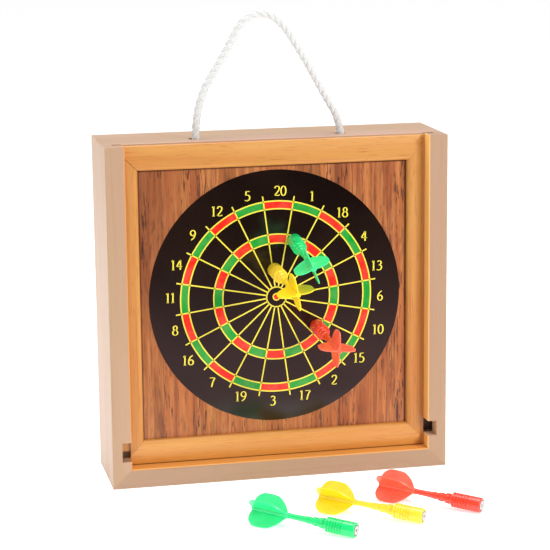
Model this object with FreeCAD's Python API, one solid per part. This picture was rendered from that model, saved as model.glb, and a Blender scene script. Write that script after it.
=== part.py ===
import FreeCAD, Part
import math
import os

# Magnetic dartboard: a mitred wooden box whose front is a framed board that slides up out of side
# grooves, a rope handle knotted under the top wall, and six magnetic darts, three on the target and
# three lying in front. Millimetres. X is to the right, Y to the back, Z up; the origin is the middle
# of the box's underside. "Depth" is measured backwards from the plane of the box's front edges.

V = FreeCAD.Vector

# How far a cutting solid runs past the piece that it cuts
PAST = 1.0

# Box
BOX_W = 300.0
BOX_D = 87.0
BOX_H = 298.5
WALL = 17.0
OUTER_EASE = 0.9
LIP_EASE = 1.4

# Channel that the lid slides in, and the back panel's rebate
LIP = 14.0
CHANNEL_BACK = 19.9
CHANNEL_CUT = 8.5
SEAT_CUT = 1.8
TOP_WALL_FRONT = 20.3
REBATE_DEPTH = 4.0
REBATE_WIDTH = 9.0
LEFT_NOTCH = (24.0, 41.0)
RIGHT_NOTCH = (28.5, 42.0)

# Lid: a mitred frame round a veneered panel, lying a little to the left in its grooves
LID_X = -1.8
LID_HALF_W = 138.0
LID_LOW = 15.5
LID_HIGH = 297.4
SIGHT_HALF = 118.7
SIGHT_Z = 157.1
BODY_W = 12.1
TONGUE_FRONT = 14.3
LID_BACK = 19.6
PANEL_FRONT = 17.0
PANEL_BACK = 18.9
STEEL_BACK = 19.4
RIDGE_DEPTH = 11.3
SIGHT_ROUND = 4.0
CROWN_R = 70.0
RAIL_EDGE_ROUND = 1.2
RAIL_EDGE_DROP = 1.0
LOW_TONGUE = 1.7
PANEL_LAP = 5.0
LEFT_TONGUE_END = 29.7
RIGHT_TONGUE_END = 43.0

# Printed target
DISC_R = 111.8
DISC_X = -0.95
DISC_Z = 160.0
DISC_T = 0.25

# Back panel and its pins
BACK_CLEAR = 0.2
PIN_R = 0.6
PIN_HEAD_R = 1.5
PIN_HEAD_T = 0.5
PIN_LENGTH = 13.0
PIN_INSET = 12.5
PIN_SPREAD = 95.0

# Rope handle
ROPE_D = 6.2
HOLE_D = 9.4
HOLE_SHIFT = -1.2
KNOT_R = 7.6
KNOT_H = 13.0
KNOT_TAIL = 9.0
KNOT_PROFILE = ((0.55, 0.0), (0.93, 0.17), (1.0, 0.45), (0.88, 0.84))

# Darts, measured along the axis from the tail tips (0) to the nose
DART_L = 96.0
BARREL_R = 6.3
BARREL_FROM = 70.5
CAP_FROM = 85.0
GROOVES = 6
GROOVE_DEEP = 0.55
GROOVE_SHAPE = ((0.0, 0.0), (0.5, 0.0), (0.62, 1.0), (0.86, 1.0))
CONE_FROM = 51.5
CONE_R = 4.9
CONE_STEP = 0.3
CONE_GROOVES = 3
SHAFT_R = 2.5
SHAFT_TAIL_R = 2.2
SHAFT_EVEN_FROM = 48.0
SPIGOT_R = 1.3
SPIGOT_FROM = 7.0
HUB_FROM = 2.3
HUB_TO = 36.0
HUB_SWELL = 0.35
FIN_R = 15.5
FIN_R_AT = 14.6
FIN_T = 0.9
NOSE_EASE = 0.9
MAGNET_R = 4.6
MAGNET_T = 3.0
MAGNET_PROUD = 0.2
FIT_GAP = 0.02


def depth(d):
    """Y of a plane that lies d behind the front edges."""
    return d - BOX_D / 2


def face_of(steps, place):
    """Flat closed face. A step is a corner (a, b), or (mid, end) for an arc through mid to end."""
    edges = []
    here = steps[0]
    for step in steps[1:] + [steps[0]]:
        if isinstance(step[0], tuple):
            edges.append(Part.Arc(place(*here), place(*step[0]), place(*step[1])).toShape())
            here = step[1]
        elif place(*here).distanceToPoint(place(*step)) > 1e-6:
            edges.append(Part.LineSegment(place(*here), place(*step)).toShape())
            here = step
    return Part.Face(Part.Wire(edges))


def box_between(low, high):
    """Solid box from its lowest to its highest corner."""
    size = V(*high) - V(*low)
    return Part.makeBox(size.x, size.y, size.z, V(*low))


def mirrored_x(shape, plane_x=0.0):
    """The same piece on the other side of the plane x = plane_x."""
    return shape.mirror(V(plane_x, 0, 0), V(1, 0, 0))


def arc_mid(centre, radius, angle_deg):
    """Point of a circle, as a plain pair."""
    a = math.radians(angle_deg)
    return (centre[0] + radius * math.cos(a), centre[1] + radius * math.sin(a))


# ---------------------------------------------------------------- box walls

def wall_section(channel_cut, front):
    """Section of a wall as (t, d): t inwards from the outer face, d backwards from the front.

    A wall that starts at the front plane has a lip and a channel; one that starts further back is
    plain.
    """
    e, g = OUTER_EASE, LIP_EASE
    steps = [(e, front)]
    if front == 0.0:
        steps += [
            (WALL - g, 0.0),
            (arc_mid((WALL - g, g), g, -45), (WALL, g)),
            (WALL, LIP),
            (WALL - channel_cut, LIP),
            (WALL - channel_cut, CHANNEL_BACK),
            (WALL, CHANNEL_BACK),
        ]
    else:
        steps += [(WALL - e, front), (arc_mid((WALL - e, front + e), e, -45), (WALL, front + e))]
    steps += [
        (WALL, BOX_D - REBATE_DEPTH),
        (WALL - REBATE_WIDTH, BOX_D - REBATE_DEPTH),
        (WALL - REBATE_WIDTH, BOX_D),
        (e, BOX_D),
        (arc_mid((e, BOX_D - e), e, 135), (0.0, BOX_D - e)),
        (0.0, front + e),
        (arc_mid((e, front + e), e, -135), (e, front)),
    ]
    return steps


def corner_wedge(z_edge, up, front):
    """Prism that takes a mitre off a left wall: the triangle beyond the corner's 45 degree plane."""
    x0 = -BOX_W / 2
    sign = 1 if up else -1
    past = PAST

    def place(a, b):
        return V(a, depth(front), b)

    corners = [
        (x0 - past, z_edge + sign * past),
        (x0 + WALL + past, z_edge + sign * past),
        (x0 + WALL + past, z_edge - sign * (WALL + past)),
    ]
    return face_of(corners, place).extrude(V(0, BOX_D + 2 * past - front, 0))


def side_wall(notch_low, notch_high):
    """Left wall: grooved for the lid, notched through the front lip, mitred at both ends."""
    def place(t, d):
        return V(-BOX_W / 2 + t, depth(d), 0)

    wall = face_of(wall_section(CHANNEL_CUT, 0.0), place).extrude(V(0, 0, BOX_H))
    inner = -BOX_W / 2 + WALL
    notch = box_between(
        (inner - CHANNEL_CUT, depth(-PAST), notch_low),
        (inner + PAST, depth(LIP + PAST), notch_high),
    )
    wall = wall.cut(notch)
    wall = wall.cut(corner_wedge(0.0, False, -PAST))
    return wall.cut(corner_wedge(BOX_H, True, TOP_WALL_FRONT))


def cross_wall(section, at_top):
    """Bottom or top wall, between the side walls' mitres."""
    def place(t, d):
        return V(-BOX_W / 2, depth(d), BOX_H - t if at_top else t)

    wall = face_of(section, place).extrude(V(BOX_W, 0, 0))
    z_out = BOX_H if at_top else 0.0
    z_in = BOX_H - WALL if at_top else WALL
    past = PAST if at_top else -PAST

    def side(a, b):
        return V(a, depth(-PAST), b)

    keep = face_of(
        [
            (-BOX_W / 2 - PAST, z_out + past),
            (BOX_W / 2 + PAST, z_out + past),
            (BOX_W / 2 - WALL - PAST, z_in - past),
            (-BOX_W / 2 + WALL + PAST, z_in - past),
        ],
        side,
    ).extrude(V(0, BOX_D + 2 * PAST, 0))
    return wall.common(keep)


def rope_holes():
    """The two upright holes of the rope, as cutters through the top wall."""
    holes = []
    for end in (ROPE_ROUTE[0], ROPE_ROUTE[-1]):
        foot = V(end[0] + HOLE_SHIFT, end[1], BOX_H - WALL - PAST)
        holes.append(Part.makeCylinder(HOLE_D / 2, WALL + 2 * PAST, foot))
    return holes


def back_panel():
    """Thin board in the walls' rear rebates."""
    inset = WALL - REBATE_WIDTH + BACK_CLEAR
    return box_between(
        (-BOX_W / 2 + inset, depth(BOX_D - REBATE_DEPTH), inset),
        (BOX_W / 2 - inset, depth(BOX_D), BOX_H - inset),
    )


def back_pins():
    """Two pins through each edge of the back panel into the wall before it."""
    far_x = BOX_W / 2 - PIN_INSET
    mid_z = BOX_H / 2
    far_z = mid_z - PIN_INSET
    places = []
    for s in (-PIN_SPREAD, PIN_SPREAD):
        places += [(-far_x, mid_z + s), (far_x, mid_z + s), (s, mid_z - far_z), (s, mid_z + far_z)]
    pins = []
    for x, z in places:
        back = V(x, depth(BOX_D), z)
        shank = Part.makeCylinder(PIN_R, PIN_LENGTH, back, V(0, -1, 0))
        head = Part.makeCylinder(PIN_HEAD_R, PIN_HEAD_T, back, V(0, -1, 0))
        pins.append(shank.fuse(head).removeSplitter())
    return pins


# ---------------------------------------------------------------- lid

def crown_depth(w):
    """Depth of the rails' crowned face, w outwards from the sight edge."""
    run = w - SIGHT_ROUND
    return RIDGE_DEPTH + CROWN_R - math.sqrt(CROWN_R ** 2 - run ** 2)


def inner_steps():
    """The rail's section from the panel's face over the rounded sight edge to the ridge."""
    centre = (SIGHT_ROUND, RIDGE_DEPTH + SIGHT_ROUND)
    return [
        (0.0, PANEL_FRONT),
        (0.0, centre[1]),
        (arc_mid(centre, SIGHT_ROUND, -135), (SIGHT_ROUND, RIDGE_DEPTH)),
    ]


def crown_to(w):
    """Arc along the crowned face from the ridge to w."""
    mid = (w + SIGHT_ROUND) / 2
    return ((mid, crown_depth(mid)), (w, crown_depth(w)))


def back_steps(outer):
    """The rail's back, with the rebate that the panel lies in."""
    return [(outer, LID_BACK), (PANEL_LAP, LID_BACK), (PANEL_LAP, PANEL_FRONT)]


def stile_section():
    """Upright rail: the body, a shoulder, and the tongue that runs in the groove."""
    outer = LID_HALF_W - SIGHT_HALF
    return inner_steps() + [
        crown_to(BODY_W),
        (BODY_W, TONGUE_FRONT),
        (outer, TONGUE_FRONT),
    ] + back_steps(outer)


def rail_section(outer, tongue):
    """Level rail: crowned, with a rounded outer edge and, beyond it, a tongue of that height."""
    edge = outer - tongue
    turn = edge - RAIL_EDGE_ROUND
    start = crown_depth(turn)
    mid = (edge - RAIL_EDGE_ROUND * 0.3, start + RAIL_EDGE_DROP * 0.33)
    steps = inner_steps() + [crown_to(turn), (mid, (edge, start + RAIL_EDGE_DROP))]
    if tongue:
        steps += [(edge, TONGUE_FRONT), (outer, TONGUE_FRONT)]
    return steps + back_steps(outer)


def mitre_sector():
    """Wedge of the plane above the sight opening, bounded by the two upper mitre planes."""
    reach = LID_HALF_W * 2

    def place(a, b):
        return V(LID_X + a, depth(0), SIGHT_Z + b)

    return face_of([(0.0, 0.0), (reach, reach), (-reach, reach)], place).extrude(V(0, BOX_D, 0))


def lid_rail(outer_z, up):
    """Top or bottom rail, mitred against the stiles and stepped back where it enters the grooves."""
    sign = 1 if up else -1
    sight = SIGHT_Z + sign * SIGHT_HALF

    def place(w, d):
        return V(LID_X - LID_HALF_W, depth(d), sight + sign * w)

    section = rail_section(abs(outer_z - sight), 0.0 if up else LOW_TONGUE)
    rail = face_of(section, place).extrude(V(2 * LID_HALF_W, 0, 0))
    sector = mitre_sector()
    if not up:
        sector = sector.mirror(V(0, 0, SIGHT_Z), V(0, 0, 1))
    rail = rail.common(sector)
    shoulder = SIGHT_HALF + BODY_W
    reach = LID_HALF_W + PAST
    for side in (-1, 1):
        xs = sorted([LID_X + side * shoulder, LID_X + side * reach])
        rail = rail.cut(box_between((xs[0], depth(0), 0), (xs[1], depth(TONGUE_FRONT), BOX_H)))
    return without_tongue_ends(rail)


def without_tongue_ends(piece):
    """Cuts off the tongues where they stop short of the lower corners."""
    left = LID_X - LID_HALF_W - PAST
    shoulder = LID_X - SIGHT_HALF - BODY_W
    groove = BOX_W / 2 - WALL
    right = LID_X + LID_HALF_W + PAST
    piece = piece.cut(box_between((left, depth(0), 0), (shoulder, depth(BOX_D), LEFT_TONGUE_END)))
    return piece.cut(box_between((groove, depth(0), 0), (right, depth(BOX_D), RIGHT_TONGUE_END)))


def lid_stile():
    """Left stile, before its tongue is shortened."""
    def place(w, d):
        return V(LID_X - SIGHT_HALF - w, depth(d), LID_LOW)

    stile = face_of(stile_section(), place).extrude(V(0, 0, LID_HIGH - LID_LOW))
    sector = mitre_sector()
    sector.rotate(V(LID_X, 0, SIGHT_Z), V(0, 1, 0), -90)
    return stile.common(sector)


def lid_sheet(front, back):
    """Flat sheet that fills the frame's rebate between two depths."""
    half = SIGHT_HALF + PANEL_LAP
    return box_between(
        (LID_X - half, depth(front), SIGHT_Z - half), (LID_X + half, depth(back), SIGHT_Z + half)
    )


def target_disc():
    """Thin printed disc on the panel's face."""
    face = V(DISC_X, depth(PANEL_FRONT), DISC_Z)
    return Part.makeCylinder(DISC_R, DISC_T, face, V(0, -1, 0))


# ---------------------------------------------------------------- rope

# Middle line of the rope, from the underside of the top wall up, over and down again
ROPE_ROUTE = [
    (-66.4, -6.0, 281.4),
    (-66.4, -6.0, 310.0),
    (-59.0, -5.6, 340.0),
    (-40.0, -5.0, 368.0),
    (-21.0, -4.4, 404.0),
    (6.5, -4.4, 405.0),
    (30.5, -5.0, 367.5),
    (49.5, -5.6, 332.0),
    (63.9, -6.0, 308.0),
    (63.9, -6.0, 281.4),
]
RUN_SHARE = 0.45


def rope_path(points):
    """Straight runs joined by tangent arcs, each as large as its two runs allow."""
    pts = [V(*p) for p in points]
    edges = []
    here = pts[0]
    for i in range(1, len(pts) - 1):
        back = pts[i - 1] - pts[i]
        ahead = pts[i + 1] - pts[i]
        reach = RUN_SHARE * min(back.Length, ahead.Length)
        back.normalize()
        ahead.normalize()
        half_turn = (math.pi - back.getAngle(ahead)) / 2
        radius = reach / math.tan(half_turn)
        print("rope arc", i, "turn %.1f deg" % math.degrees(2 * half_turn), "radius %.1f mm" % radius)
        start = pts[i] + back * reach
        end = pts[i] + ahead * reach
        inward = back + ahead
        inward.normalize()
        middle = pts[i] + inward * (radius / math.cos(half_turn) - radius)
        edges.append(Part.LineSegment(here, start).toShape())
        edges.append(Part.Arc(start, middle, end).toShape())
        here = end
    edges.append(Part.LineSegment(here, pts[-1]).toShape())
    return Part.Wire(edges)


def rope_tube():
    """The rope between its two knots."""
    path = rope_path(ROPE_ROUTE)
    start = V(*ROPE_ROUTE[0])
    along = V(*ROPE_ROUTE[1]) - start
    section = Part.Wire([Part.Circle(start, along, ROPE_D / 2).toShape()])
    tube = path.makePipeShell([section], True, False)
    expected = math.pi * ROPE_D ** 2 / 4 * path.Length
    print("rope length %.1f mm, volume ratio %.4f" % (path.Length, tube.Volume / expected))
    return tube


def rope_knot(end):
    """Stopper knot under the top wall, with a short tail; a plain turned body of its size."""
    r = ROPE_D / 2
    top = end[2]
    low = top - KNOT_H
    rim, shoulder, belly, haunch = [(KNOT_R * a, top - KNOT_H * b) for a, b in KNOT_PROFILE]

    def place(a, b):
        return V(end[0] + a, end[1], b)

    section = face_of(
        [
            (0.0, top),
            rim,
            (shoulder, belly),
            (haunch, (r, low)),
            (r, low - KNOT_TAIL),
            (0.0, low - KNOT_TAIL),
        ],
        place,
    )
    return section.revolve(V(end[0], end[1], 0), V(0, 0, 1), 360)


# ---------------------------------------------------------------- darts

def grooved(start, end, r_start, r_end, count):
    """Corners along a straight or tapering stretch with evenly spaced shallow grooves."""
    pitch = (end - start) / count
    corners = []
    for i in range(count):
        s = start + pitch * i
        for share, cut in GROOVE_SHAPE:
            at = s + pitch * share
            r = r_start + (r_end - r_start) * (at - start) / (end - start)
            corners.append((at, r - cut * GROOVE_DEEP))
    corners.append((end, r_end))
    return corners


def along_axis(a, b):
    """Dart drawings: a along the axis from the tail, b outwards."""
    return V(a, b, 0)


def dart_barrel():
    """Moulded barrel, ribbed cone, slim shaft and the spigot that the flight is pushed on."""
    recess = DART_L - MAGNET_T
    steps = [(SPIGOT_FROM, 0.0), (SPIGOT_FROM, SPIGOT_R), (HUB_TO + FIT_GAP, SPIGOT_R)]
    steps += [(HUB_TO + FIT_GAP, SHAFT_TAIL_R), (SHAFT_EVEN_FROM, SHAFT_R)]
    steps += grooved(CONE_FROM, BARREL_FROM, SHAFT_R + CONE_STEP, CONE_R, CONE_GROOVES)
    steps += grooved(BARREL_FROM, CAP_FROM, BARREL_R, BARREL_R, GROOVES)
    steps += [
        (DART_L - NOSE_EASE, BARREL_R),
        (arc_mid((DART_L - NOSE_EASE, BARREL_R - NOSE_EASE), NOSE_EASE, 45),
         (DART_L, BARREL_R - NOSE_EASE)),
        (DART_L, MAGNET_R),
        (recess, MAGNET_R),
        (recess, 0.0),
    ]
    return face_of(steps, along_axis).revolve(V(0, 0, 0), V(1, 0, 0), 360)


def dart_flight():
    """Four crossed fins with straight tail edges and round corners, on a slim hub."""
    root = (SPIGOT_R + SHAFT_TAIL_R) / 2
    fin_steps = [
        (HUB_FROM, root),
        ((1.6, 4.6), (1.4, 7.6)),
        ((3.2, 12.2), (7.6, 15.2)),
        ((FIN_R_AT, FIN_R), (21.2, 14.7)),
        ((28.4, 9.5), (HUB_TO - 2.0, root)),
    ]

    def place(a, b):
        return V(a, b, -FIN_T / 2)

    fin = face_of(fin_steps, place).extrude(V(0, 0, FIN_T))
    fins = []
    for k in range(4):
        one = fin.copy()
        one.rotate(V(0, 0, 0), V(1, 0, 0), 90 * k)
        fins.append(one)
    hub = face_of(
        [
            (HUB_FROM, 0.0),
            (HUB_FROM, SHAFT_TAIL_R),
            (HUB_TO, SHAFT_TAIL_R + HUB_SWELL),
            (HUB_TO, 0.0),
        ],
        along_axis,
    ).revolve(V(0, 0, 0), V(1, 0, 0), 360)
    bore = Part.makeCylinder(
        SPIGOT_R + FIT_GAP, HUB_TO, V(SPIGOT_FROM - FIT_GAP, 0, 0), V(1, 0, 0)
    )
    return hub.multiFuse(fins).removeSplitter().cut(bore)


def dart_magnet():
    """Disc magnet in the nose, standing a hair proud."""
    foot = V(DART_L - MAGNET_T + FIT_GAP, 0, 0)
    return Part.makeCylinder(MAGNET_R - FIT_GAP, MAGNET_T - FIT_GAP + MAGNET_PROUD, foot, V(1, 0, 0))


def placement_of(tail, nose_dir, fin_dir):
    """Puts a dart's tail point and axis in place, with one fin as near to fin_dir as it can be."""
    x_axis = V(nose_dir)
    x_axis.normalize()
    z_axis = x_axis.cross(fin_dir)
    z_axis.normalize()
    y_axis = z_axis.cross(x_axis)
    return FreeCAD.Placement(tail, FreeCAD.Rotation(x_axis, y_axis, z_axis, "XYZ"))


# Darts on the target: nose centre (x, z), the tail's sideways and upward lean, and the fins' roll
BOARD_DARTS = {
    "green": ((16.1, 208.8), (-4.9, -7.4), 21.7),
    "yellow": ((-1.9, 183.7), (-0.2, -3.2), 10.6),
    "red": ((35.7, 131.3), (-3.0, -0.7), -4.4),
}
BOARD_GAP = 0.05

# Loose darts on the surface: the tail's and the nose's places (x, y)
LOOSE_DARTS = {
    "green": ((-52.3, -157.5), (22.1, -219.0)),
    "yellow": ((8.9, -138.0), (84.6, -197.8)),
    "red": ((65.9, -119.5), (138.6, -182.0)),
}
LOOSE_GAP = 0.05


def board_placement(nose, lean, roll):
    """A dart that the steel holds: its nose rim touches the target's face."""
    outward = V(lean[0], -DART_L, lean[1])
    outward.normalize()
    tilt = math.acos(-outward.y)
    touch = BARREL_R * math.sin(tilt) + MAGNET_PROUD + BOARD_GAP
    face_y = depth(PANEL_FRONT - DISC_T)
    nose_point = V(nose[0], face_y - touch, nose[1])
    tail = nose_point + outward * DART_L
    a = math.radians(roll)
    return placement_of(tail, outward * -1, V(math.cos(a), 0, math.sin(a)))


def loose_placement(tail_xy, nose_xy):
    """A dart that lies on two fins and the front of its barrel."""
    run = V(nose_xy[0] - tail_xy[0], nose_xy[1] - tail_xy[1], 0)
    run.normalize()
    fin_down = (FIN_R + FIN_T / 2) * math.sin(math.radians(45))
    dip = math.atan((fin_down - BARREL_R) / (DART_L - NOSE_EASE - FIN_R_AT))
    direction = run * math.cos(dip) - V(0, 0, math.sin(dip))
    sideways = V(-run.y, run.x, 0)
    diagonal = sideways + V(0, 0, 1)
    tail_z = fin_down + FIN_R_AT * math.sin(dip)
    return placement_of(V(tail_xy[0], tail_xy[1], tail_z), direction, diagonal)


def placed(shape, placement):
    """A copy of a dart's piece in its place."""
    copy = shape.copy()
    copy.Placement = placement
    return copy


def settled(pieces):
    """Shifts a loose dart's pieces so that the lowest point is just above the surface."""
    lowest = min(p.BoundBox.ZMin for p in pieces.values())
    for piece in pieces.values():
        piece.translate(V(0, 0, LOOSE_GAP - lowest))
    return pieces


# ---------------------------------------------------------------- assembly

def build():
    """Every node of the set, by name."""
    left = side_wall(*LEFT_NOTCH)
    right = mirrored_x(side_wall(*RIGHT_NOTCH))
    bottom = cross_wall(wall_section(SEAT_CUT, 0.0), False)
    top = cross_wall(wall_section(0.0, TOP_WALL_FRONT), True)
    for hole in rope_holes():
        top = top.cut(hole)
    pins = back_pins()
    panel = back_panel()
    for pin in pins:
        panel = panel.cut(pin)
        left = left.cut(pin)
        right = right.cut(pin)
        bottom = bottom.cut(pin)
        top = top.cut(pin)
    stile = lid_stile()
    nodes = {
        "left_wall": left,
        "right_wall": right,
        "bottom_wall": bottom,
        "top_wall": top,
        "back_panel": panel,
        "back_panel_pins": Part.makeCompound(pins),
        "rope_handle": rope_tube(),
        "rope_knot_left": rope_knot(ROPE_ROUTE[0]),
        "rope_knot_right": rope_knot(ROPE_ROUTE[-1]),
        "lid_top_rail": lid_rail(LID_HIGH, True),
        "lid_bottom_rail": lid_rail(LID_LOW, False),
        "lid_left_stile": without_tongue_ends(stile),
        "lid_right_stile": without_tongue_ends(mirrored_x(stile, LID_X)),
        "veneered_panel": lid_sheet(PANEL_FRONT, PANEL_BACK),
        "steel_sheet": lid_sheet(PANEL_BACK, STEEL_BACK),
        "target_disc": target_disc(),
    }
    dart = {"barrel": dart_barrel(), "flight": dart_flight(), "magnet": dart_magnet()}
    for colour, (nose, lean, roll) in BOARD_DARTS.items():
        placement = board_placement(nose, lean, roll)
        for piece, shape in dart.items():
            nodes["board_dart_%s_%s" % (colour, piece)] = placed(shape, placement)
    for colour, (tail_xy, nose_xy) in LOOSE_DARTS.items():
        placement = loose_placement(tail_xy, nose_xy)
        pieces = {piece: placed(shape, placement) for piece, shape in dart.items()}
        for piece, shape in settled(pieces).items():
            nodes["loose_dart_%s_%s" % (colour, piece)] = shape
    return nodes


os.makedirs("parts", exist_ok=True)
for name, shape in build().items():
    solids = len(shape.Solids)
    print("%-28s valid %s solids %d volume %.1f" % (name, shape.isValid(), solids, shape.Volume))
    shape.exportStep("parts/%s.step" % name)
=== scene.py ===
import math
import bmesh
import bpy
from mathutils import Matrix, Vector


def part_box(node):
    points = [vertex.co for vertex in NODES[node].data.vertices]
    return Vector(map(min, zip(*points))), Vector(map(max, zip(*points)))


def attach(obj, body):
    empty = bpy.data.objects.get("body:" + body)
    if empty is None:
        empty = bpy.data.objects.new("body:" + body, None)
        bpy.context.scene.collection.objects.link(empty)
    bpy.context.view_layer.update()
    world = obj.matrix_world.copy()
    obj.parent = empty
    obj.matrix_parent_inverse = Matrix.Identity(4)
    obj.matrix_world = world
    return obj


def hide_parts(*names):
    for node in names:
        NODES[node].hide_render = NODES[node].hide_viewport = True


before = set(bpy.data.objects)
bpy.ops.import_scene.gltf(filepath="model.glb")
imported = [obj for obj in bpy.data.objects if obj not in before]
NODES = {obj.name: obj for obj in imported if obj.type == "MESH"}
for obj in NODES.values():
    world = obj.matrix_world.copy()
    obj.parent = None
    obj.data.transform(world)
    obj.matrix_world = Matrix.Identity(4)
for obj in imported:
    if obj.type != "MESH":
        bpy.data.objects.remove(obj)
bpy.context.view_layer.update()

# A magnetic dartboard: a mitred box with a sliding framed target, a rope handle and six darts.
# Everything is in metres in the CAD frame: X to the right, Y to the back, Z up.

MM = 0.001
SCENE = bpy.context.scene
COLOURS = ("green", "yellow", "red")


# ---------------------------------------------------------------- camera

CAMERA_AT = (-0.3699, -1.7256, 0.5367)
CAMERA_YAW = 12.24
CAMERA_PITCH = -11.63
CAMERA_ROLL = -0.59
CAMERA_LENS = 133.2


def make_camera():
    """Looks at the box from the front left and a little above."""
    yaw, pitch, roll = (math.radians(a) for a in (CAMERA_YAW, CAMERA_PITCH, CAMERA_ROLL))
    ahead = Vector((
        math.sin(yaw) * math.cos(pitch), math.cos(yaw) * math.cos(pitch), math.sin(pitch)
    ))
    level = Vector((math.cos(yaw), -math.sin(yaw), 0))
    over = level.cross(ahead)
    right = level * math.cos(roll) + over * math.sin(roll)
    up = over * math.cos(roll) - level * math.sin(roll)
    data = bpy.data.cameras.new("camera")
    data.lens = CAMERA_LENS
    data.sensor_width = 36
    data.clip_end = 100
    camera = bpy.data.objects.new("camera", data)
    turn = Matrix((right, up, -ahead)).transposed()
    camera.matrix_world = Matrix.Translation(CAMERA_AT) @ turn.to_4x4()
    SCENE.collection.objects.link(camera)
    SCENE.camera = camera


make_camera()


# ---------------------------------------------------------------- meshes

def mesh_object(name, bm, materials):
    """Turns a bmesh into a piece with its materials."""
    bmesh.ops.recalc_face_normals(bm, faces=bm.faces)
    mesh = bpy.data.meshes.new(name)
    bm.to_mesh(mesh)
    bm.free()
    piece = bpy.data.objects.new(name, mesh)
    SCENE.collection.objects.link(piece)
    for material in materials:
        mesh.materials.append(material)
    return piece


# ---------------------------------------------------------------- materials

def srgb(r, g, b):
    """Linear colour from display values of 0 to 255."""
    def linear(v):
        v /= 255
        return v / 12.92 if v <= 0.04045 else ((v + 0.055) / 1.055) ** 2.4
    return (linear(r), linear(g), linear(b), 1.0)


class Paint:
    """A material with one Principled shader, fed by small node calls."""

    def __init__(self, name, **fixed):
        self.material = bpy.data.materials.new(name)
        self.material.use_nodes = True
        self.nodes = self.material.node_tree.nodes
        self.links = self.material.node_tree.links
        self.nodes.clear()
        self.shader = self.nodes.new("ShaderNodeBsdfPrincipled")
        output = self.nodes.new("ShaderNodeOutputMaterial")
        self.links.new(self.shader.outputs[0], output.inputs[0])
        for socket, value in fixed.items():
            self.shader.inputs[socket.replace("_", " ")].default_value = value
        self.place = self.add("ShaderNodeTexCoord").outputs["Object"]

    def feed(self, socket, value):
        if isinstance(value, bpy.types.NodeSocket):
            self.links.new(value, socket)
        else:
            socket.default_value = value

    def add(self, kind, inputs=None, **settings):
        node = self.nodes.new(kind)
        for key, value in settings.items():
            setattr(node, key, value)
        for key, value in (inputs or {}).items():
            self.feed(node.inputs[key], value)
        return node

    def calc(self, operation, a, b=0.0, c=0.0):
        node = self.add("ShaderNodeMath", {0: a, 1: b, 2: c}, operation=operation)
        return node.outputs[0]

    def stretched(self, scale):
        """The place scaled by axis."""
        return self.add("ShaderNodeMapping", {"Vector": self.place, "Scale": scale}).outputs[0]

    def noise(self, scale, detail=3.0, rough=0.5, seed=0.0, bend=0.0):
        """Noise of 0 to 1 with that many features per metre along each axis."""
        node = self.add(
            "ShaderNodeTexNoise",
            {"Vector": self.stretched(scale), "W": seed, "Scale": 1.0, "Detail": detail,
             "Roughness": rough, "Distortion": bend},
            noise_dimensions="4D",
        )
        return node.outputs["Fac"]

    def step(self, value, low, high, to_low=0.0, to_high=1.0):
        """Smooth step of a value from low to high."""
        node = self.add(
            "ShaderNodeMapRange",
            {"Value": value, "From Min": low, "From Max": high, "To Min": to_low,
             "To Max": to_high},
            interpolation_type="SMOOTHSTEP",
        )
        return node.outputs[0]

    def ramp(self, value, stops):
        """Colour along a list of (place, colour)."""
        node = self.add("ShaderNodeValToRGB", {"Fac": value})
        elements = node.color_ramp.elements
        while len(elements) < len(stops):
            elements.new(0.5)
        for element, (at, colour) in zip(elements, stops):
            element.position = at
            element.color = colour
        return node.outputs["Color"]

    def mix(self, share, a, b, blend="MIX"):
        node = self.add("ShaderNodeMix", data_type="RGBA", blend_type=blend)
        for socket, value in zip((node.inputs[0], node.inputs[6], node.inputs[7]), (share, a, b)):
            self.feed(socket, value)
        return node.outputs[2]

    def bump(self, height, depth, strength=1.0):
        """Surface relief: height of 0 to 1 times depth in metres."""
        node = self.add(
            "ShaderNodeBump", {"Height": height, "Distance": depth, "Strength": strength}
        )
        self.feed(self.shader.inputs["Normal"], node.outputs[0])

    def set(self, **sockets):
        for socket, value in sockets.items():
            self.feed(self.shader.inputs[socket.replace("_", " ")], value)
        return self.material

    def axis(self, name):
        return self.add("ShaderNodeSeparateXYZ", {0: self.place}).outputs[name]


def along(grain, across, length):
    """Scales for a grain that runs along X or Z."""
    return (length, across, across) if grain == "X" else (across, across, length)


def off_centre(paint, axis, centre):
    """Distance from a middle plane."""
    return paint.calc("ABSOLUTE", paint.calc("SUBTRACT", paint.axis(axis), centre))


def corner_line(paint, centre, half_x, half_z, width):
    """Mask, 1 along a frame's mitres; its corners lie half_x and half_z from the centre."""
    out_x = paint.calc("SUBTRACT", off_centre(paint, "X", centre[0]), half_x)
    out_z = paint.calc("SUBTRACT", off_centre(paint, "Z", centre[1]), half_z)
    apart = paint.calc("ABSOLUTE", paint.calc("SUBTRACT", out_x, out_z))
    return paint.step(apart, width * 0.4, width, 1.0, 0.0)


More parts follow.
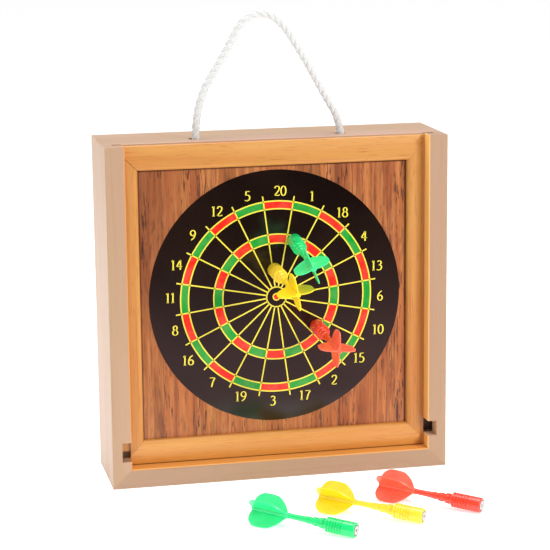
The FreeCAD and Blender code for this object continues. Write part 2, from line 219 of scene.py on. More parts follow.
def box_wood(name, grain, seed, golden, shade, paints_notch_light_and_shade):
    """Pale tan wood under a thin satin varnish, golden inside the lips.

    shade darkens it. The last argument paints light and shade into the right lip's notch: painted
    light on its faces in front, painted shade in the groove behind.
    """
    paint = Paint(name, Coat_Weight=0.2, Coat_Roughness=0.35)
    drift = paint.noise(along(grain, 26, 3), 2, 0.5, seed)
    base = paint.ramp(drift, [
        (0.30, srgb(176, 137, 112)), (0.48, srgb(174, 141, 109)), (0.66, srgb(183, 146, 124)),
    ])
    streaks = paint.noise(along(grain, 420, 8), 3, 0.6, seed + 3, 0.2)
    base = paint.mix(paint.step(streaks, 0.50, 0.78, 0.0, 0.3), base, srgb(152, 115, 90))
    fibres = paint.noise(along(grain, 1500, 45), 2, 0.6, seed + 7)
    base = paint.mix(paint.step(fibres, 0.56, 0.74, 0.0, 0.2), base, srgb(140, 102, 76))
    edge_x = BOX_HALF_X - WALL_T
    edge_z = box_low.z + WALL_T
    from_middle = off_centre(paint, "X", BOX_MIDDLE[0])
    in_x = paint.step(from_middle, edge_x + 0.6 * MM, edge_x + 1.3 * MM, 1.0, 0.0)
    in_z = paint.step(paint.axis("Z"), edge_z - 1.3 * MM, edge_z - 0.6 * MM)
    front = paint.step(paint.axis("Y"), LIP_BACK, LIP_BACK + 1.0 * MM, 1.0, 0.0)
    inside = paint.calc("MULTIPLY", paint.calc("MULTIPLY", in_x, in_z), front)
    base = paint.mix(shade, base, srgb(112, 76, 48))
    base = paint.mix(paint.calc("MULTIPLY", inside, 0.9), base, golden)
    # Painted light and shade in the right lip's notch: lighter faces in front of the lip's back, a
    # darker groove behind it
    if paints_notch_light_and_shade:
        nook_end = BOX_MIDDLE[0] + edge_x + NOTCH_DEEP
        nook_x = paint.step(
            paint.axis("X"), nook_end + 0.02 * MM, nook_end + 0.1 * MM, 1.0, 0.0
        )
        nook_z = paint.calc("ABSOLUTE", paint.calc("SUBTRACT", paint.axis("Z"), NOTCH_Z))
        nook_z = paint.step(nook_z, NOTCH_HALF_H + 0.02 * MM, NOTCH_HALF_H + 0.1 * MM, 1.0, 0.0)
        nook = paint.calc("MULTIPLY", nook_x, nook_z)
        notch_light_and_shade = paint.mix(front, srgb(60, 34, 16), srgb(216, 180, 148))
        base = paint.mix(nook, base, notch_light_and_shade)
    line = corner_line(paint, BOX_MIDDLE, BOX_HALF_X, BOX_HALF_Z, 0.35 * MM)
    low = paint.step(paint.axis("Z"), BOX_MIDDLE[1], BOX_MIDDLE[1] + 1.0 * MM, 1.0, 0.0)
    behind = paint.step(paint.axis("Y"), TOP_FRONT, TOP_FRONT + 0.2 * MM)
    line = paint.calc("MULTIPLY", line, paint.calc("MAXIMUM", low, behind))
    base = paint.mix(paint.calc("MULTIPLY", line, 0.3), base, srgb(140, 98, 72))
    paint.bump(fibres, 0.05 * MM, 0.35)
    return paint.set(Base_Color=base, Roughness=paint.step(streaks, 0.3, 0.7, 0.42, 0.52))


def frame_wood(name, grain, seed, painted_floor_light):
    """Golden wood with long faint streaks, satin varnish; the last argument lightens it as painted
    light from the floor.
    """
    paint = Paint(name, Coat_Weight=0.3, Coat_Roughness=0.25)
    drift = paint.noise(along(grain, 70, 5), 3, 0.55, seed, 0.3)
    base = paint.ramp(drift, [
        (0.30, srgb(186, 118, 42)), (0.50, srgb(194, 130, 54)), (0.70, srgb(198, 142, 68)),
    ])
    streaks = paint.noise(along(grain, 420, 9), 4, 0.65, seed + 2, 0.5)
    base = paint.mix(paint.step(streaks, 0.48, 0.72, 0.0, 0.6), base, srgb(176, 98, 34))
    flecks = paint.noise(along(grain, 1100, 60), 2, 0.5, seed + 5)
    base = paint.mix(paint.step(flecks, 0.58, 0.70, 0.0, 0.55), base, srgb(150, 80, 26))
    # Painted light: this share lightens the whole rail, standing for light from the floor
    base = paint.mix(painted_floor_light, base, srgb(255, 186, 92))
    line = corner_line(paint, LID_MIDDLE, 0.0, 0.0, 0.55 * MM)
    left = paint.step(paint.axis("X"), LID_MIDDLE[0] - 5.0 * MM, LID_MIDDLE[0], 1.0, 0.25)
    high = paint.step(paint.axis("Z"), LID_MIDDLE[1], LID_MIDDLE[1] + 5.0 * MM, 0.3, 1.0)
    line = paint.calc("MULTIPLY", line, paint.calc("MULTIPLY", left, high))
    base = paint.mix(paint.calc("MULTIPLY", line, 0.8), base, srgb(104, 54, 16))
    lip_top = box_low.z + WALL_T
    # Painted shadow: a dark line along the bottom rail's lower edge, for the shaded gap above the
    # bottom lip
    foot = paint.step(paint.axis("Z"), lip_top + 0.5 * MM, lip_top + 0.9 * MM, 0.8, 0.0)
    base = paint.mix(foot, base, srgb(84, 40, 10))
    paint.bump(paint.calc("SUBTRACT", streaks, paint.calc("MULTIPLY", flecks, 0.4)), 0.08 * MM, 0.3)
    return paint.set(Base_Color=base, Roughness=paint.step(streaks, 0.3, 0.7, 0.34, 0.46))


def veneer():
    """Reddish-brown open-pored veneer with upright bands, curling figure and short dark pores."""
    paint = Paint("veneer", Coat_Weight=0.6, Coat_Roughness=0.28, Specular_IOR_Level=0.2)
    bands = paint.noise((46, 46, 1.2), 3, 0.6, 4.0, 0.4)
    base = paint.ramp(bands, [
        (0.30, srgb(114, 56, 24)), (0.42, srgb(148, 76, 28)), (0.50, srgb(176, 100, 44)),
        (0.57, srgb(140, 78, 26)), (0.66, srgb(194, 124, 64)),
    ])
    figure = paint.noise((110, 110, 10), 4, 0.6, 9.0, 1.2)
    base = paint.mix(paint.step(figure, 0.44, 0.70, 0.0, 0.6), base, srgb(200, 130, 70))
    streaks = paint.noise((400, 400, 6), 4, 0.65, 2.0, 0.6)
    base = paint.mix(paint.step(streaks, 0.48, 0.70, 0.0, 0.75), base, srgb(108, 48, 20))
    left_edge = LID_MIDDLE[0] - SIGHT_HALF
    heart_x = paint.step(paint.axis("X"), left_edge, LID_MIDDLE[0] - 0.5 * SIGHT_HALF)
    heart_z = paint.step(paint.axis("Z"), LID_MIDDLE[1] - 20 * MM, LID_MIDDLE[1] + 60 * MM)
    heart = paint.calc("MULTIPLY", paint.calc("SUBTRACT", 1.0, heart_x), heart_z)
    base = paint.mix(paint.calc("MULTIPLY", heart, 0.6), base, srgb(112, 50, 20))
    clumps = paint.step(paint.noise((60, 60, 9), 2, 0.5, 6.0), 0.42, 0.62, 0.35, 1.0)
    pores = paint.step(paint.noise((700, 700, 70), 2, 0.5, 12.0, 0.6), 0.545, 0.62)
    dark = paint.calc("MULTIPLY", pores, clumps)
    base = paint.mix(paint.calc("MULTIPLY", dark, 0.9), base, srgb(62, 24, 8))
    # Painted shadow: the veneer darkens within 2 mm of the sight edge at both sides and the top,
    # where the frame shades it
    from_side = paint.calc("SUBTRACT", SIGHT_HALF, off_centre(paint, "X", LID_MIDDLE[0]))
    from_top = paint.calc("SUBTRACT", LID_MIDDLE[1] + SIGHT_HALF, paint.axis("Z"))
    edge_shadow = paint.step(paint.calc("MINIMUM", from_side, from_top), 0.6 * MM, 2.0 * MM, 1.0, 0.0)
    base = paint.mix(paint.calc("MULTIPLY", edge_shadow, 0.85), base, srgb(56, 22, 6))
    paint.bump(paint.calc("SUBTRACT", 1.0, dark), 0.12 * MM, 0.6)
    return paint.set(Base_Color=base, Roughness=paint.step(streaks, 0.3, 0.7, 0.42, 0.58))


def plywood():
    """Thin plain board: pale, with wide soft figure."""
    paint = Paint("plywood")
    figure = paint.noise((22, 22, 4), 4, 0.55, 1.0, 1.5)
    base = paint.ramp(figure, [(0.35, srgb(196, 156, 112)), (0.6, srgb(216, 180, 136))])
    fibres = paint.noise((900, 900, 30), 3, 0.6, 3.0)
    base = paint.mix(paint.step(fibres, 0.52, 0.72, 0.0, 0.4), base, srgb(160, 118, 78))
    paint.bump(fibres, 0.08 * MM, 0.5)
    return paint.set(Base_Color=base, Roughness=paint.step(fibres, 0.3, 0.7, 0.6, 0.72))


def metal(name, colour, rough, scale):
    """Rolled or plated metal with faint lines."""
    paint = Paint(name, Metallic=1.0)
    lines = paint.noise(scale, 3, 0.5, 2.0)
    base = paint.mix(paint.step(lines, 0.3, 0.7, 0.0, 0.35), colour, srgb(150, 152, 156))
    paint.bump(lines, 0.01 * MM, 0.3)
    return paint.set(Base_Color=base, Roughness=paint.step(lines, 0.3, 0.7, rough, rough + 0.12))


def ink(name, colour):
    """Printed colour under the target's glossy surface, with a trace of unevenness."""
    paint = Paint(name, Coat_Weight=1.0, Coat_Roughness=0.14, Specular_IOR_Level=0.0)
    patch = paint.noise((70, 70, 70), 3, 0.6, 5.0)
    shade = paint.mix(paint.step(patch, 0.35, 0.65, 0.0, 0.05), colour, srgb(255, 240, 190))
    return paint.set(Base_Color=shade, Roughness=paint.step(patch, 0.3, 0.7, 0.36, 0.44))


def cotton():
    """White cotton yarns, twisted: fine slanting lines on each strand."""
    paint = Paint("cotton", Sheen_Weight=0.3, Sheen_Roughness=0.6, Specular_IOR_Level=0.15)
    uv = paint.add("ShaderNodeTexCoord").outputs["UV"]
    slanted = paint.add("ShaderNodeMapping", {"Vector": uv, "Scale": (1300.0, 7.0, 1.0)}).outputs[0]
    split = paint.add("ShaderNodeSeparateXYZ", {0: slanted})
    phase = paint.calc("ADD", split.outputs["X"], split.outputs["Y"])
    wave = paint.calc("SINE", paint.calc("MULTIPLY", phase, 2 * math.pi))
    wobble = paint.noise((500, 500, 500), 3, 0.6, 1.0)
    height = paint.calc("ADD", paint.calc("MULTIPLY", wave, 0.3), wobble)
    base = paint.mix(paint.step(height, 0.2, 0.9), srgb(199, 199, 198), srgb(207, 207, 206))
    paint.bump(height, 0.12 * MM, 0.06)
    return paint.set(Base_Color=base, Roughness=paint.step(wobble, 0.3, 0.7, 0.85, 0.95))


def plastic(name, colour, deep, rough, soft):
    """Moulded plastic: saturated, glossy, with a faint flow pattern and some light inside."""
    paint = Paint(
        name, Subsurface_Weight=soft, Subsurface_Scale=2.0 * MM, Subsurface_Radius=(1.0, 1.0, 1.0),
        Coat_Weight=0.3, Coat_Roughness=0.15,
    )
    flow = paint.noise((120, 120, 120), 3, 0.5, 8.0)
    base = paint.mix(paint.step(flow, 0.35, 0.65, 0.0, 0.35), colour, deep)
    grain = paint.noise((2500, 2500, 2500), 2, 0.5, 3.0)
    paint.bump(grain, 0.01 * MM, 0.25)
    return paint.set(Base_Color=base, Roughness=paint.step(flow, 0.3, 0.7, rough, rough + 0.08))


def assign(node, material):
    """Gives a CAD node one material in place of its plain one."""
    mesh = NODES[node].data
    mesh.materials.clear()
    mesh.materials.append(material)


WALLS = ("left_wall", "right_wall", "bottom_wall", "top_wall")
RAILS = ("lid_left_stile", "lid_right_stile", "lid_bottom_rail", "lid_top_rail")

box_low, box_high = (Vector(c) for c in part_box("left_wall"))
right_high = Vector(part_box("right_wall")[1])
panel_low, panel_high = (Vector(c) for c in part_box("veneered_panel"))
WALL_T = 17.0 * MM
LIP_BACK = box_low.y + 14.0 * MM
TOP_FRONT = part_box("top_wall")[0][1]
LIP_GOLD = srgb(232, 158, 70)
# The right wall's lighter golden is painted light, where light from the left falls on its inner
# face
GOLDEN = {"left_wall": srgb(212, 138, 58), "right_wall": srgb(252, 190, 108)}
SHADES = {"bottom_wall": 0.2, "right_wall": 0.1}
NOTCH_Z = box_low.z + 35.25 * MM
NOTCH_HALF_H = 6.75 * MM
NOTCH_DEEP = 8.5 * MM
SIGHT_HALF = (panel_high.x - panel_low.x) / 2 - 5.0 * MM
BOX_HALF_X = (right_high.x - box_low.x) / 2
BOX_HALF_Z = (box_high.z - box_low.z) / 2
BOX_MIDDLE = ((right_high.x + box_low.x) / 2, (box_high.z + box_low.z) / 2)
LID_MIDDLE = ((panel_high.x + panel_low.x) / 2, (panel_high.z + panel_low.z) / 2)

for seed, node in enumerate(WALLS):
    golden = GOLDEN.get(node, LIP_GOLD)
    shade = SHADES.get(node, 0.0)
    grain = "Z" if seed < 2 else "X"
    nook = node == "right_wall"
    assign(node, box_wood("box_wood_" + node, grain, seed * 11.0, golden, shade, nook))
for seed, node in enumerate(RAILS):
    # The bottom rail gets painted light from the floor
    painted_floor_light = 0.2 if node == "lid_bottom_rail" else 0.0
    grain = "Z" if seed < 2 else "X"
    assign(node, frame_wood("frame_wood_" + node, grain, seed * 13.0 + 5.0, painted_floor_light))
assign("veneered_panel", veneer())
assign("back_panel", plywood())
assign("steel_sheet", metal("zinc_sheet", srgb(176, 180, 184), 0.3, (40, 40, 900)))
assign("back_panel_pins", metal("pin_steel", srgb(190, 190, 190), 0.25, (900, 900, 900)))


# ---------------------------------------------------------------- printed target

disc_low, disc_high = (Vector(c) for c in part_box("target_disc"))
DISC_X = (disc_low.x + disc_high.x) / 2
DISC_Z = (disc_low.z + disc_high.z) / 2
DISC_R = (disc_high.x - disc_low.x) / 2
DISC_FACE = disc_low.y

# Clockwise turn and shift of the print on the disc
PRINT_TURN = math.radians(1.68)
PRINT_SHIFT = (0.73 * MM, -0.57 * MM)

# Radii as shares of the disc's, and widths in metres
RINGS = ((0.698, 0.760), (0.427, 0.499))
BULL = 0.079
DOT = 0.022
DOT_RIM = 0.031
SPOKE_END = 0.805
NUMBER_RING = 0.838
NUMBER_TURN = math.radians(0.9)
LATE_NUMBERS = (18, 4, 13)
LATE_SHARE = 2.2
OUTER_NUMBERS = {10: 4.5 * MM, 15: 1.5 * MM, 16: 1.2 * MM}
LINE_W = 1.15 * MM
NUMBER_H = 8.9 * MM
SECTORS = 20
SECTOR = 2 * math.pi / SECTORS
NUMBERS = (20, 1, 18, 4, 13, 6, 10, 15, 2, 17, 3, 19, 7, 16, 8, 11, 14, 9, 12, 5)
RED_NUMBERS = (20, 18, 13, 10, 2, 3, 7, 8, 14, 12)
FIELD_LIFT = 0.03 * MM
LINE_LIFT = 0.05 * MM
BLACK, RED, GREEN, YELLOW = range(4)


def disc_black():
    """Black print: a smooth gloss over a brown-black ground with a few faint clouds."""
    paint = Paint("target_black", Coat_Weight=1.0, Coat_Roughness=0.14, Specular_IOR_Level=0.0)
    clouds = paint.noise((14, 14, 14), 3, 0.5, 3.0)
    base = paint.mix(paint.step(clouds, 0.35, 0.65), srgb(20, 10, 7), srgb(30, 18, 13))
    return paint.set(Base_Color=base, Roughness=paint.step(clouds, 0.3, 0.7, 0.34, 0.42))


def print_point(x, y, z):
    """Point of the print, which sits a little turned and off the disc's centre."""
    turned = Matrix.Rotation(-PRINT_TURN, 2) @ Vector((x, z))
    return (DISC_X + PRINT_SHIFT[0] + turned.x, y, DISC_Z + PRINT_SHIFT[1] + turned.y)


def ribbon(bm, left, right, lift, slot, closed=False):
    """Raised strip between two rows of points (x, z) on the disc's face."""
    rows = []
    for y in (DISC_FACE - lift, DISC_FACE + 0.1 * lift):
        for row in (left, right):
            rows.append([bm.verts.new(print_point(x, y, z)) for x, z in row])
    front_l, front_r, back_l, back_r = rows
    count = len(left)
    spans = range(count if closed else count - 1)
    for a, b in ((front_l, front_r), (front_r, back_r), (back_r, back_l), (back_l, front_l)):
        for i in spans:
            j = (i + 1) % count
            bm.faces.new((a[i], b[i], b[j], a[j])).material_index = slot
    if not closed:
        for i in (0, -1):
            bm.faces.new((front_l[i], front_r[i], back_r[i], back_l[i])).material_index = slot


def on_circle(radius, start, turn, steps):
    """Points of a circle, clockwise from the top."""
    angles = [start + turn * i / steps for i in range(steps + 1)]
    return [(radius * math.sin(a), radius * math.cos(a)) for a in angles]


def circle_line(bm, radius, width, lift, slot, steps=160):
    """A printed circle of that line width."""
    radii = (radius - width / 2, radius + width / 2)
    ring = [on_circle(r, 0, 2 * math.pi, steps)[:-1] for r in radii]
    ribbon(bm, ring[0], ring[1], lift, slot, closed=True)


def print_fields(bm):
    """Red and green fields of the two rings, and the spot in the middle."""
    for k, number in enumerate(NUMBERS):
        slot = RED if number in RED_NUMBERS else GREEN
        start = (k - 0.5) * SECTOR
        for inner, outer in RINGS:
            rows = [on_circle(r * DISC_R, start, SECTOR, 8) for r in (inner, outer)]
            ribbon(bm, rows[0], rows[1], FIELD_LIFT, slot)
    circle_line(bm, DOT * DISC_R / 2, DOT * DISC_R * 0.98, FIELD_LIFT, RED, 24)


def print_lines(bm):
    """Yellow circles and spokes."""
    for inner, outer in RINGS:
        for r in (inner, outer):
            circle_line(bm, r * DISC_R, LINE_W, LINE_LIFT, YELLOW)
    circle_line(bm, BULL * DISC_R, LINE_W, LINE_LIFT, YELLOW, 64)
    rim = (DOT_RIM - DOT) * DISC_R
    circle_line(bm, DOT * DISC_R + rim / 2, rim, LINE_LIFT, YELLOW, 32)
    for k in range(SECTORS):
        a = (k + 0.5) * SECTOR
        outward = Vector((math.sin(a), math.cos(a)))
        side = Vector((outward.y, -outward.x)) * LINE_W / 2
        ends = (outward * BULL * DISC_R, outward * SPOKE_END * DISC_R)
        ribbon(bm, [e - side for e in ends], [e + side for e in ends], LINE_LIFT, YELLOW)


# Numerals drawn with a broad pen: each stroke is a smooth row of points in a box one unit high
THICK = 0.14
THIN = 0.07
DIGIT_GAP = 0.06


def loop(x, z, rx, rz):
    """A closed oval stroke."""
    turns = [2 * math.pi * i / 12 for i in range(13)]
    return [(x + rx * math.sin(a), z + rz * math.cos(a)) for a in turns]


DIGITS = {
    "0": (0.62, [loop(0.29, 0.50, 0.24, 0.46)]),
    "1": (0.50, [[(0.04, 0.84), (0.19, 0.98)], [(0.19, 0.98), (0.19, 0.02)],
                 [(0.07, 0.03), (0.31, 0.03)]]),
    "2": (0.62, [[(0.06, 0.76), (0.13, 0.92), (0.29, 0.97), (0.46, 0.88), (0.48, 0.68),
                  (0.34, 0.42), (0.05, 0.06)], [(0.05, 0.07), (0.34, 0.05), (0.55, 0.12)]]),
    "3": (0.60, [[(0.07, 0.86), (0.26, 0.97), (0.44, 0.86), (0.42, 0.66), (0.22, 0.55)],
                 [(0.22, 0.55), (0.44, 0.48), (0.50, 0.28), (0.38, 0.08), (0.20, 0.03),
                  (0.03, 0.10)]]),
    "4": (0.64, [[(0.38, 0.97), (0.03, 0.34)], [(0.03, 0.34), (0.58, 0.34)],
                 [(0.40, 0.97), (0.40, 0.02)]]),
    "5": (0.60, [[(0.49, 0.95), (0.15, 0.95)], [(0.15, 0.95), (0.12, 0.56)],
                 [(0.12, 0.56), (0.34, 0.58), (0.50, 0.42), (0.48, 0.18), (0.28, 0.03),
                  (0.05, 0.07)]]),
    "6": (0.62, [[(0.46, 0.98), (0.22, 0.80), (0.07, 0.48), (0.10, 0.16), (0.29, 0.03),
                  (0.49, 0.16), (0.50, 0.40), (0.31, 0.56), (0.10, 0.42)]]),
    "7": (0.60, [[(0.04, 0.94), (0.54, 0.94)], [(0.54, 0.94), (0.34, 0.50), (0.22, 0.02)]]),
    "8": (0.62, [loop(0.29, 0.75, 0.18, 0.21), loop(0.29, 0.28, 0.24, 0.25)]),
    "9": (0.62, [[(0.12, 0.02), (0.36, 0.20), (0.51, 0.52), (0.48, 0.84), (0.29, 0.97),
                  (0.09, 0.84), (0.08, 0.60), (0.27, 0.44), (0.48, 0.58)]]),
}


def smooth_row(points, per_span=5):
    """Catmull-Rom curve through the points."""
    if len(points) < 3:
        return [Vector(p) for p in points]
    closed = (Vector(points[0]) - Vector(points[-1])).length < 1e-6
    core = [Vector(p) for p in points]
    before = core[-2] if closed else core[0] * 2 - core[1]
    after = core[1] if closed else core[-1] * 2 - core[-2]
    padded = [before] + core + [after]
    row = []
    for i in range(1, len(padded) - 2):
        p0, p1, p2, p3 = padded[i - 1:i + 3]
        for k in range(per_span):
            t = k / per_span
            row.append(0.5 * (
                2 * p1 + (p2 - p0) * t + (2 * p0 - 5 * p1 + 4 * p2 - p3) * t ** 2
                + (3 * p1 - p0 - 3 * p2 + p3) * t ** 3
            ))
    row.append(core[-1])
    return row


def pen_stroke(bm, points, place):
    """One stroke: broad where it runs upright, thin where it runs level."""
    row = smooth_row(points)
    left, right = [], []
    for i, here in enumerate(row):
        run = row[min(i + 1, len(row) - 1)] - row[max(i - 1, 0)]
        run.normalize()
        width = THIN + (THICK - THIN) * abs(run.y) ** 1.3
        side = Vector((run.y, -run.x)) * width / 2
        left.append(place(here - side))
        right.append(place(here + side))
    ribbon(bm, left, right, LINE_LIFT, YELLOW)


def print_numbers(bm):
    """The numbers round the rim, all upright."""
    for k, number in enumerate(NUMBERS):
        text = str(number)
        turn = k * SECTOR + NUMBER_TURN * (LATE_SHARE if number in LATE_NUMBERS else 1.0)
        radius = NUMBER_RING * DISC_R + OUTER_NUMBERS.get(number, 0.0)
        centre = Vector((math.sin(turn), math.cos(turn))) * radius
        width = sum(DIGITS[c][0] for c in text) - DIGIT_GAP
        at = -width / 2
        for c in text:
            advance, strokes = DIGITS[c]
            for stroke in strokes:
                pen_stroke(bm, stroke, lambda p: centre + Vector((at + p.x, p.y - 0.5)) * NUMBER_H)
            at += advance


def make_target():
    """The print on the disc."""
    inks = [
        disc_black(), ink("ink_red", srgb(224, 26, 12)), ink("ink_green", srgb(0, 146, 46)),
        ink("ink_yellow", srgb(232, 216, 66)),
    ]
    assign("target_disc", inks[BLACK])
    bm = bmesh.new()
    print_fields(bm)
    print_lines(bm)
    print_numbers(bm)
    piece = mesh_object("target_print", bm, inks)
    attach(piece, "lid")


make_target()


# ---------------------------------------------------------------- rope handle

STRANDS = 3
STRAND_R = 2.15 * MM
STRAND_OFF = 1.35 * MM
STRAND_PITCH = 21 * MM
STRAND_SIDES = 12
STRAND_TIP = 0.7
ROPE_ROUTE = [
    (-0.0664, -0.0060, 0.2814),
    (-0.0664, -0.0060, 0.3100),
    (-0.0590, -0.0056, 0.3400),
    (-0.0400, -0.0050, 0.3680),
    (-0.0210, -0.0044, 0.4040),
    (0.0065, -0.0044, 0.4050),
    (0.0305, -0.0050, 0.3675),
    (0.0495, -0.0056, 0.3320),
    (0.0639, -0.0060, 0.3080),
    (0.0639, -0.0060, 0.2814),
]


def spline_points(name, route, resolution):
    """Points along the smooth line of a route."""
    data = bpy.data.curves.new(name, "CURVE")
    data.dimensions = "3D"
    data.resolution_u = resolution
    spline = data.splines.new("NURBS")
    spline.points.add(len(route) - 1)
    for point, place in zip(spline.points, route):
        point.co = (*place, 1.0)
    spline.order_u = 3
    spline.use_endpoint_u = True
    holder = bpy.data.objects.new(name, data)
    SCENE.collection.objects.link(holder)
    bpy.context.view_layer.update()
    graph = bpy.context.evaluated_depsgraph_get()
    mesh = bpy.data.meshes.new_from_object(holder.evaluated_get(graph))
    points = [v.co.copy() for v in mesh.vertices]
    bpy.data.objects.remove(holder)
    bpy.data.curves.remove(data)
    bpy.data.meshes.remove(mesh)
    return points


def row_length(points):
    """Length along a row of points."""
    return sum((b - a).length for a, b in zip(points, points[1:]))


def spaced(points, gap):
    """The same line with evenly spaced points."""
    total = row_length(points)
    count = max(2, round(total / gap))
    result = [points[0].copy()]
    target, walked = total / count, 0.0
    for a, b in zip(points, points[1:]):
        span = (b - a).length
        while walked + span >= target - 1e-12 and len(result) < count:
            result.append(a.lerp(b, (target - walked) / span))
            target += total / count
        walked += span
    result.append(points[-1].copy())
    return result


def carried_frames(points):
    """A direction square to the line at each point, turning no more than the line does."""
    runs = []
    for i in range(len(points)):
        run = points[min(i + 1, len(points) - 1)] - points[max(i - 1, 0)]
        runs.append(run.normalized())
    side = runs[0].orthogonal().normalized()
    sides = [side]
    for a, b in zip(runs, runs[1:]):
        side = a.rotation_difference(b) @ side
        side = (side - b * side.dot(b)).normalized()
        sides.append(side)
    return runs, sides


def twisted(bm, points, close_at=()):
    """Three strands twisted round a line; the ends (0, -1) in close_at come to a point."""
    uv = bm.loops.layers.uv.verify()
    runs, sides = carried_frames(points)
    walked = [0.0]
    for a, b in zip(points, points[1:]):
        walked.append(walked[-1] + (b - a).length)
    slant = math.atan(2 * math.pi * STRAND_OFF / STRAND_PITCH)
    for k in range(STRANDS):
        rings = []
        for i, here in enumerate(points):
            turn = 2 * math.pi * (k / STRANDS + walked[i] / STRAND_PITCH)
            cross = runs[i].cross(sides[i])
            out = sides[i] * math.cos(turn) + cross * math.sin(turn)
            sweep = cross * math.cos(turn) - sides[i] * math.sin(turn)
            lean = runs[i] * math.cos(slant) + sweep * math.sin(slant)
            over = lean.cross(out)
            centre = here + out * STRAND_OFF
            ring = []
            for s in range(STRAND_SIDES):
                a = 2 * math.pi * s / STRAND_SIDES
                ray = out * math.cos(a) + over * math.sin(a)
                ring.append(bm.verts.new(centre + ray * STRAND_R))
            rings.append(ring)
        for i in range(len(points) - 1):
            for s in range(STRAND_SIDES):
                t = (s + 1) % STRAND_SIDES
                face = bm.faces.new((rings[i][s], rings[i][t], rings[i + 1][t], rings[i + 1][s]))
                face.smooth = True
                marks = (
                    (walked[i], s / STRAND_SIDES), (walked[i], (s + 1) / STRAND_SIDES),
                    (walked[i + 1], (s + 1) / STRAND_SIDES), (walked[i + 1], s / STRAND_SIDES),
                )
                for corner, mark in zip(face.loops, marks):
                    corner[uv].uv = mark
        for end in (0, -1):
            if end in close_at:
                tip = sum((v.co for v in rings[end]), Vector()) / STRAND_SIDES
                tip += runs[end] * STRAND_R * (STRAND_TIP if end == -1 else -STRAND_TIP)
                point = bm.verts.new(tip)
                for s in range(STRAND_SIDES):
                    t = (s + 1) % STRAND_SIDES
                    bm.faces.new((rings[end][s], rings[end][t], point)).smooth = True
            else:
                bm.faces.new(rings[end])


def knot_line(foot):
    """Line of a stopper knot under a foot of the rope: two and a half wraps and a short tail."""
    wrap_r = 4.3 * MM
    wrap_from, wrap_to = 3.0 * MM, 10.6 * MM
    tail_to = 21.4 * MM
    turns = 2.5
    steps = 90
    points = [Vector(foot)]
    for i in range(steps + 1):
        t = i / steps
        ease = min(1.0, 5 * t, 5 * (1 - t))
        ease = ease * ease * (3 - 2 * ease)
        a = 2 * math.pi * turns * t
        lean = 1.3 * MM * math.sin(a + 0.8) * ease
        down = wrap_from + (wrap_to - wrap_from) * t + lean
        points.append(Vector(foot) + Vector((
            wrap_r * ease * math.cos(a), wrap_r * ease * math.sin(a), -down
        )))
    for i in range(1, 12):
        t = i / 11
        points.append(Vector(foot) + Vector((
            0.8 * MM * t, -0.5 * MM * t, -(wrap_to + (tail_to - wrap_to) * t)
        )))
    return points


def make_rope():
    """The rope and its two knots under the top wall."""
    material = cotton()
    line = spaced(spline_points("rope_line", ROPE_ROUTE, 24), 0.9 * MM)
    bm = bmesh.new()
    twisted(bm, line)
    rope = mesh_object("rope", bm, [material])
    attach(rope, "box")
    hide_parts("rope_handle")
    for side, foot in (("left", ROPE_ROUTE[0]), ("right", ROPE_ROUTE[-1])):
        bm = bmesh.new()
        twisted(bm, spaced(knot_line(foot), 0.8 * MM), close_at=(-1,))
        knot = mesh_object("knot_" + side, bm, [material])
        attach(knot, "box")
        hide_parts("rope_knot_" + side)


make_rope()


# ---------------------------------------------------------------- darts

BODY_COLOURS = {
    "green": (srgb(0, 218, 118), srgb(0, 198, 102)),
    "yellow": (srgb(252, 214, 46), srgb(244, 200, 32)),
    "red": (srgb(238, 64, 38), srgb(218, 48, 26)),
}
FIN_COLOURS = {
    "green": (srgb(48, 223, 140), srgb(12, 207, 118)),
    "yellow": (srgb(250, 212, 10), srgb(244, 196, 0)),
    "red": (srgb(250, 104, 76), srgb(240, 70, 42)),
}


def magnet(node):
    """Nickel-plated disc: grey silver with a small dark centre, and a dark line round its rim
    painted as the shade of the gap to the plastic.
    """
    low, high = (Vector(corner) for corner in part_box(node))
    paint = Paint("magnet_" + node, Metallic=1.0)
    away = paint.add(
        "ShaderNodeVectorMath", {0: paint.place, 1: tuple((low + high) / 2)}, operation="DISTANCE"
    ).outputs["Value"]
    centre = paint.step(away, 1.8 * MM, 2.1 * MM, 1.0, 0.0)
    # Painted shade: the dark ring at the rim stands for the gap between magnet and plastic
    rim = paint.step(away, 4.1 * MM, 4.4 * MM)
    cloud = paint.noise((400, 400, 400), 2, 0.5, 2.0)
    base = paint.mix(paint.step(cloud, 0.3, 0.7), srgb(176, 172, 170), srgb(196, 192, 190))
    base = paint.mix(paint.calc("MAXIMUM", centre, rim), base, srgb(70, 58, 56))
    return paint.set(Base_Color=base, Roughness=paint.step(cloud, 0.3, 0.7, 0.28, 0.36))


def make_darts():
    """Plastic and metal of the six darts."""
    for colour in COLOURS:
        body = plastic("dart_" + colour, *BODY_COLOURS[colour], 0.22, 0.15)
        fins = plastic("flight_" + colour, *FIN_COLOURS[colour], 0.32, 0.5)
        for place in ("board", "loose"):
            stem = "%s_dart_%s_" % (place, colour)
            assign(stem + "barrel", body)
            assign(stem + "flight", fins)
            assign(stem + "magnet", magnet(stem + "magnet"))


make_darts()


# ---------------------------------------------------------------- floor and light

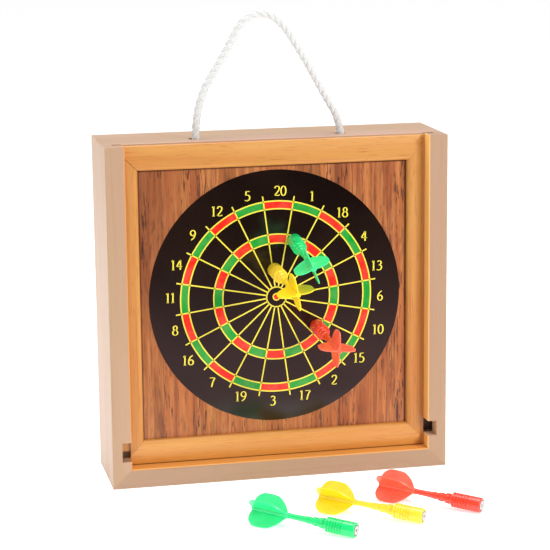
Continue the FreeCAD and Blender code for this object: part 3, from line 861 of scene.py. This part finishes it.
def area_light(name, place, aim, size, power):
    """A soft white rectangular light that faces aim."""
    data = bpy.data.lights.new(name, "AREA")
    data.shape = "RECTANGLE"
    data.size, data.size_y = size
    data.energy = power
    light = bpy.data.objects.new(name, data)
    light.location = place
    light.rotation_euler = (Vector(aim) - Vector(place)).to_track_quat("-Z", "Y").to_euler()
    SCENE.collection.objects.link(light)


# A card over the floor paints the reflection in the gloss: it glows faintly and darkens towards the
# viewer, and only the target's gloss shows it
DARK_FROM = -0.25
DARK_TO = -1.15


def flat_stage(name, y_range, half_width, z, near, far=None, glow=0.0):
    """A level stage surface; its colour may run from near to far along Y."""
    bm = bmesh.new()
    y0, y1 = y_range
    corners = [(-half_width, y0), (half_width, y0), (half_width, y1), (-half_width, y1)]
    bm.faces.new([bm.verts.new((x, y, z)) for x, y in corners])
    paint = Paint(name, Specular_IOR_Level=0.0, Roughness=0.9)
    colour = near
    if far is not None:
        colour = paint.mix(paint.step(paint.axis("Y"), DARK_FROM, DARK_TO), near, far)
    paint.set(Base_Color=colour, Emission_Color=colour, Emission_Strength=glow)
    piece = mesh_object(name, bm, [paint.material])
    return piece


def make_studio():
    """White floor, soft lights from the right front, the left and above."""
    reach = 14.0
    flat_stage("floor", (-reach, reach), reach, -0.1 * MM, srgb(250, 250, 250), glow=0.52)
    card = flat_stage(
        "dark_card", (-reach, DARK_FROM), 3.0, 0.0, srgb(203, 167, 169), srgb(12, 12, 12), 0.42
    )
    card.visible_camera = False
    card.visible_diffuse = False
    card.visible_shadow = False
    world = bpy.data.worlds.new("studio")
    world.use_nodes = True
    world.node_tree.nodes["Background"].inputs["Color"].default_value = (1.0, 1.0, 1.0, 1.0)
    world.node_tree.nodes["Background"].inputs["Strength"].default_value = 0.5
    SCENE.world = world
    aim = (0.0, 0.0, 0.15)
    area_light("key", (1.75, -2.3, 1.4), aim, (0.7, 0.7), 56)
    area_light("left", (-1.6, 0.1, 0.7), aim, (0.8, 1.2), 9)
    area_light("top", (0.0, 0.25, 1.9), aim, (1.4, 1.4), 30)
    SCENE.view_settings.view_transform = "Standard"


make_studio()
